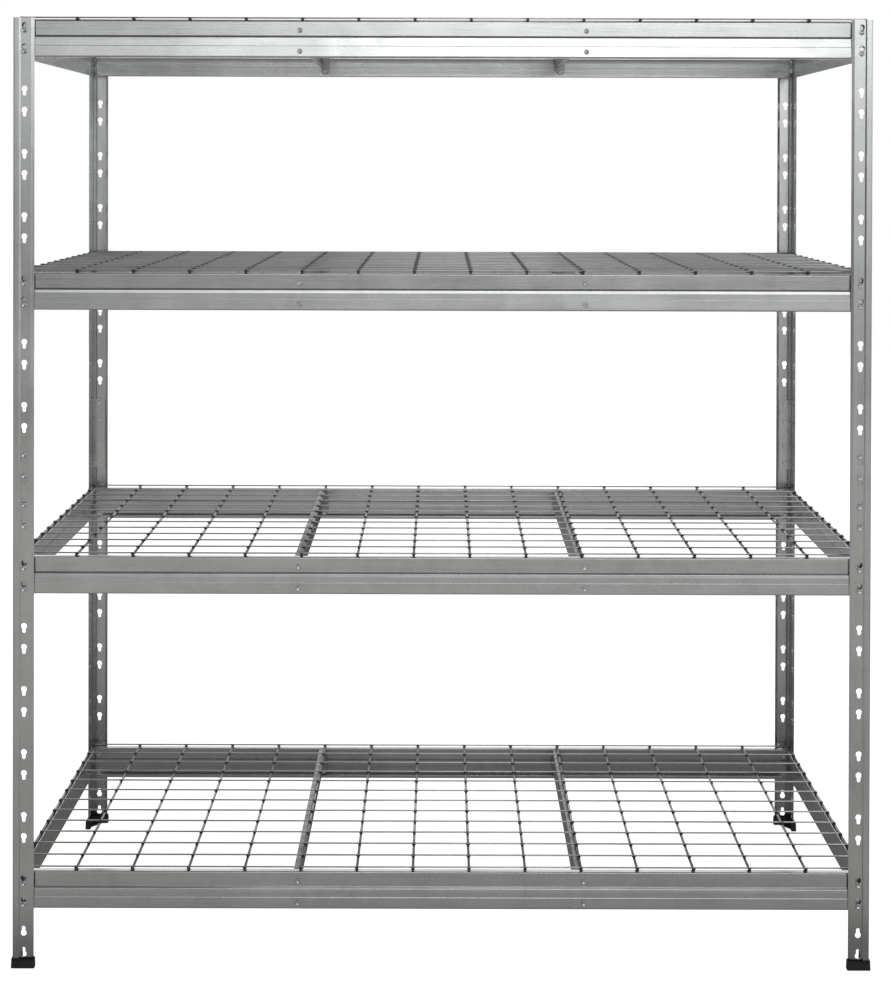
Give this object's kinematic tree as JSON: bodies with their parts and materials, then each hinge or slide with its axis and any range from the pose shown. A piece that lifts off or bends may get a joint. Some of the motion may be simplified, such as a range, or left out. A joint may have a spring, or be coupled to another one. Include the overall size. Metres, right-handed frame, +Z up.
{
  "type": "boltless steel shelving",
  "caption": "Free-standing galvanised steel shelving with welded wire mesh tiers on stepped beams that hook into keyhole posts.",
  "frame": {"origin": "on the floor in the middle of the footprint", "axes": "+Z up, +X along the wide side to the right, -Y is the front"},
  "size_m": [1.6318, 0.6318, 1.808],
  "materials": {
    "galvanised_sheet": "satin galvanised",
    "zinc_wire": "bright zinc",
    "zinc_stud": "bright zinc",
    "foot_plastic": "fine matte moulding"
  },
  "bodies": {
    "frame": {"post_lower_front_left": "galvanised_sheet", "post_upper_front_left": "galvanised_sheet", "splice_front_left": "galvanised_sheet", "splice_studs_front_left": "zinc_stud", "foot_front_left": "foot_plastic", "post_lower_front_right": "galvanised_sheet", "post_upper_front_right": "galvanised_sheet", "splice_front_right": "galvanised_sheet", "splice_studs_front_right": "zinc_stud", "foot_front_right": "foot_plastic", "post_lower_back_right": "galvanised_sheet", "post_upper_back_right": "galvanised_sheet", "splice_back_right": "galvanised_sheet", "splice_studs_back_right": "zinc_stud", "foot_back_right": "foot_plastic", "post_lower_back_left": "galvanised_sheet", "post_upper_back_left": "galvanised_sheet", "splice_back_left": "galvanised_sheet", "splice_studs_back_left": "zinc_stud", "foot_back_left": "foot_plastic", "beam_front_tier_1": "galvanised_sheet", "beam_right_tier_1": "galvanised_sheet", "beam_back_tier_1": "galvanised_sheet", "beam_left_tier_1": "galvanised_sheet", "cross_bar_left_tier_1": "galvanised_sheet", "cross_bar_right_tier_1": "galvanised_sheet", "beam_studs_tier_1": "zinc_stud", "cross_bar_studs_tier_1": "zinc_stud", "beam_front_tier_2": "galvanised_sheet", "beam_right_tier_2": "galvanised_sheet", "beam_back_tier_2": "galvanised_sheet", "beam_left_tier_2": "galvanised_sheet", "cross_bar_left_tier_2": "galvanised_sheet", "cross_bar_right_tier_2": "galvanised_sheet", "beam_studs_tier_2": "zinc_stud", "cross_bar_studs_tier_2": "zinc_stud", "beam_front_tier_3": "galvanised_sheet", "beam_right_tier_3": "galvanised_sheet", "beam_back_tier_3": "galvanised_sheet", "beam_left_tier_3": "galvanised_sheet", "cross_bar_left_tier_3": "galvanised_sheet", "cross_bar_right_tier_3": "galvanised_sheet", "beam_studs_tier_3": "zinc_stud", "cross_bar_studs_tier_3": "zinc_stud", "beam_front_tier_4": "galvanised_sheet", "beam_right_tier_4": "galvanised_sheet", "beam_back_tier_4": "galvanised_sheet", "beam_left_tier_4": "galvanised_sheet", "cross_bar_left_tier_4": "galvanised_sheet", "cross_bar_right_tier_4": "galvanised_sheet", "beam_studs_tier_4": "zinc_stud", "cross_bar_studs_tier_4": "zinc_stud"},
    "deck_1": {"wire_deck_tier_1": "zinc_wire"},
    "deck_2": {"wire_deck_tier_2": "zinc_wire"},
    "deck_3": {"wire_deck_tier_3": "zinc_wire"},
    "deck_4": {"wire_deck_tier_4": "zinc_wire"}
  },
  "joints": [
    {"name": "deck_1_lift", "type": "slide", "parent": "frame", "child": "deck_1", "axis": [0, 0, 1], "range_m": [0, 0.3]},
    {"name": "deck_2_lift", "type": "slide", "parent": "frame", "child": "deck_2", "axis": [0, 0, 1], "range_m": [0, 0.3]},
    {"name": "deck_3_lift", "type": "slide", "parent": "frame", "child": "deck_3", "axis": [0, 0, 1], "range_m": [0, 0.3]},
    {"name": "deck_4_lift", "type": "slide", "parent": "frame", "child": "deck_4", "axis": [0, 0, 1], "range_m": [0, 0.3]}
  ]
}
